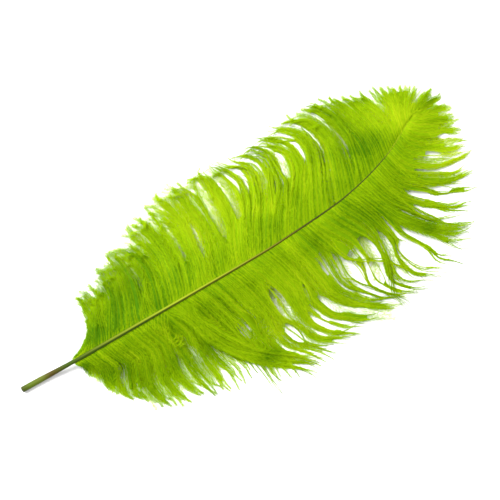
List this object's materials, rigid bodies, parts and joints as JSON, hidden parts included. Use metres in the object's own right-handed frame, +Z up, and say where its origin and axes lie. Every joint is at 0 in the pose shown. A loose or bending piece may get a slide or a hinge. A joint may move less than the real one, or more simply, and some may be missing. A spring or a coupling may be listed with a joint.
{
  "type": "ostrich feather",
  "caption": "Dyed ostrich plume lying flat: a bare cut quill, a tapering shaft that bends near its tip, and a vane of soft, loose, drooping barbs along both sides.",
  "frame": {"origin": "on the surface that the feather lies on, under the middle of its box", "axes": "+X along the shaft from the cut quill to the tip, +Y to the left of that seen from above, +Z up"},
  "size_m": [0.3996, 0.187, 0.0157],
  "materials": {
    "dyed_barbs": "soft matt keratin barbs, dyed lime green",
    "dyed_quill": "smooth satin horn, dyed olive green"
  },
  "bodies": {
    "root": {"ostrich_feather": "dyed_barbs"}
  },
  "joints": []
}
